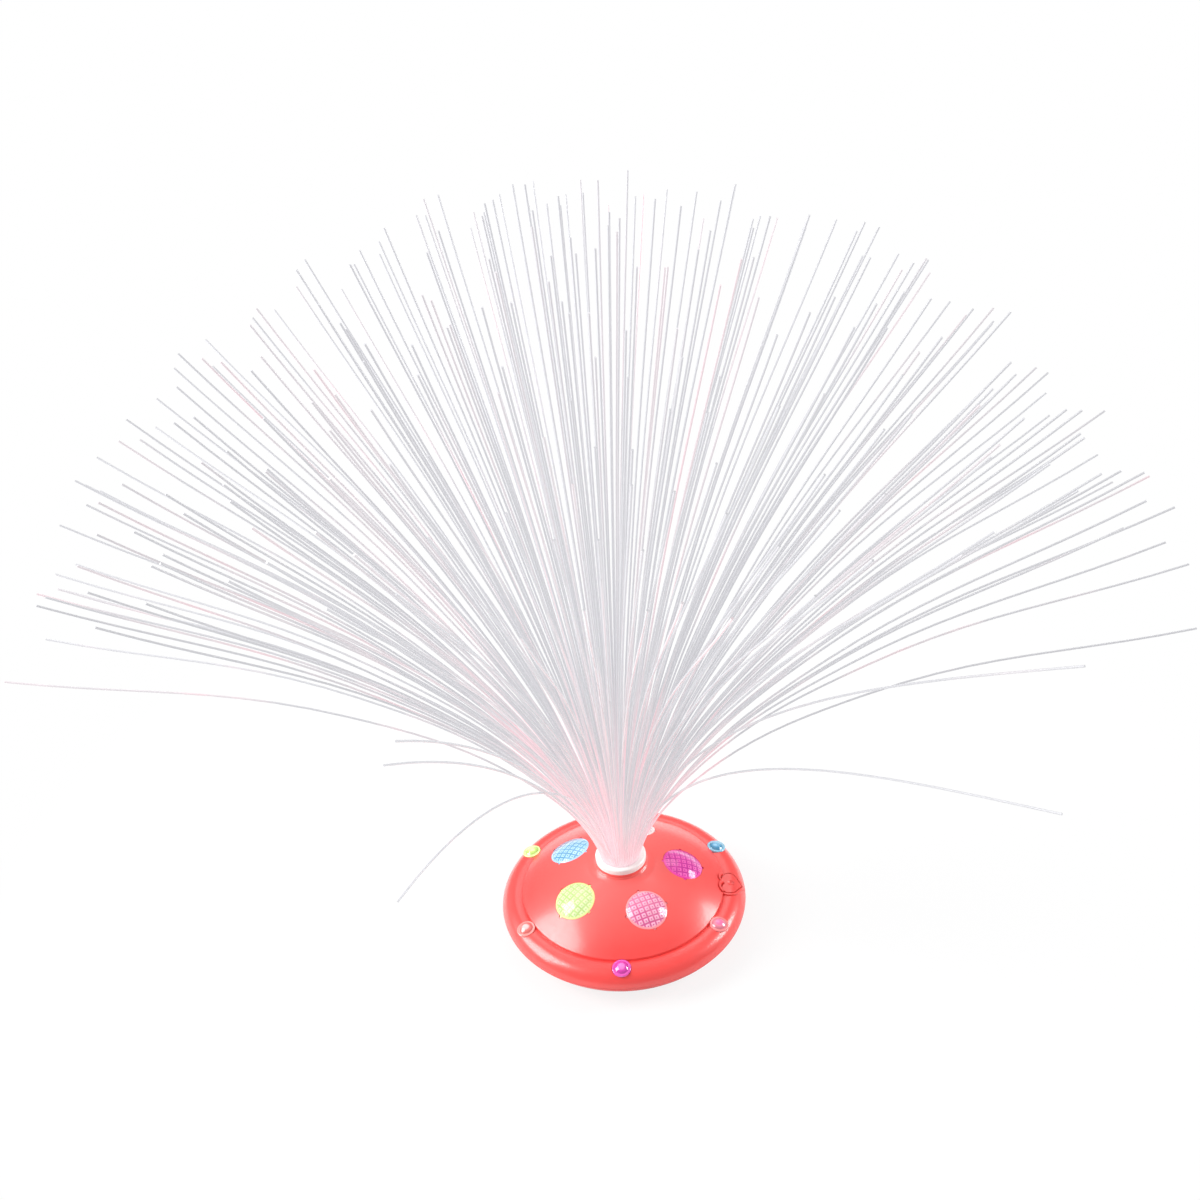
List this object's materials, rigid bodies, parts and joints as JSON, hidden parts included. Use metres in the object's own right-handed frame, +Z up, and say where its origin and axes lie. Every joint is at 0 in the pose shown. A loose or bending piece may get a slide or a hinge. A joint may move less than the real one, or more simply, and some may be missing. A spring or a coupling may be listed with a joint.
{
  "type": "fibre optic lamp",
  "caption": "Fibre optic lamp: a fan of fine light fibres in a white collar on a round red battery base with coloured lenses and a heart-shaped push switch.",
  "frame": {"origin": "centre of the foot ring on the table", "axes": "+Z up along the collar's axis; -Y towards the front, +X to the right side with the heart switch"},
  "size_m": [0.3991, 0.2568, 0.2756],
  "materials": {
    "coral_red": "gloss, moulded",
    "milk_white": "gloss, moulded",
    "fibre_clear": "clear drawn plastic",
    "resin_clear": "cast resin",
    "lens_magenta": "translucent, gloss outside, pyramids inside",
    "lens_pink": "translucent, gloss outside, pyramids inside",
    "lens_blue": "translucent, gloss outside, pyramids inside",
    "lens_green": "translucent, gloss outside, pyramids inside",
    "lens_clear": "translucent, gloss outside, pyramids inside",
    "lamp_clear": "clear epoxy",
    "board_green": "laminate",
    "black_resin": "potted, matt",
    "switch_black": "moulded, matt",
    "cable_grey": "soft vinyl",
    "contact_steel": "nickel-plated",
    "screw_steel": "zinc-plated",
    "cell_jacket": "plain printed sleeve"
  },
  "bodies": {
    "base": {"upper_shell": "coral_red", "lower_shell": "coral_red", "collar": "milk_white", "fibre_plug": "resin_clear", "fibres_core": "fibre_clear", "fibres_inner": "fibre_clear", "fibres_middle": "fibre_clear", "fibres_outer": "fibre_clear", "window_front": "lens_pink", "window_right": "lens_magenta", "window_rear": "lens_clear", "window_rear_left": "lens_blue", "window_front_left": "lens_green", "small_lens_front": "lens_magenta", "small_lens_front_right": "lens_pink", "small_lens_rear_right": "lens_blue", "small_lens_rear": "lens_magenta", "small_lens_rear_left": "lens_green", "small_lens_front_left": "lens_clear", "switch_body": "switch_black", "switch_board": "board_green", "circuit_board": "board_green", "switch_lead": "cable_grey", "control_chip": "black_resin", "main_led": "lamp_clear", "window_leds": "lamp_clear", "contact_positive": "contact_steel", "contact_negative": "contact_steel", "contact_bridge_rear": "contact_steel", "contact_bridge_front": "contact_steel", "case_screws": "screw_steel", "board_screws": "screw_steel", "battery_left": "cell_jacket", "battery_middle": "cell_jacket", "battery_right": "cell_jacket"},
    "button": {"heart_button": "coral_red", "switch_plunger": "switch_black"},
    "door": {"battery_door": "coral_red"}
  },
  "joints": [
    {"name": "heart_press", "type": "slide", "parent": "base", "child": "button", "axis": [0, 0, -1], "range_m": [0, 0.0006], "stiffness_N_per_m": 800},
    {"name": "battery_door_hinge", "type": "hinge", "parent": "base", "child": "door", "pos_m": [0, -0.0234, 0.0013], "axis": [-1, 0, 0], "range_deg": [0, 60]}
  ]
}
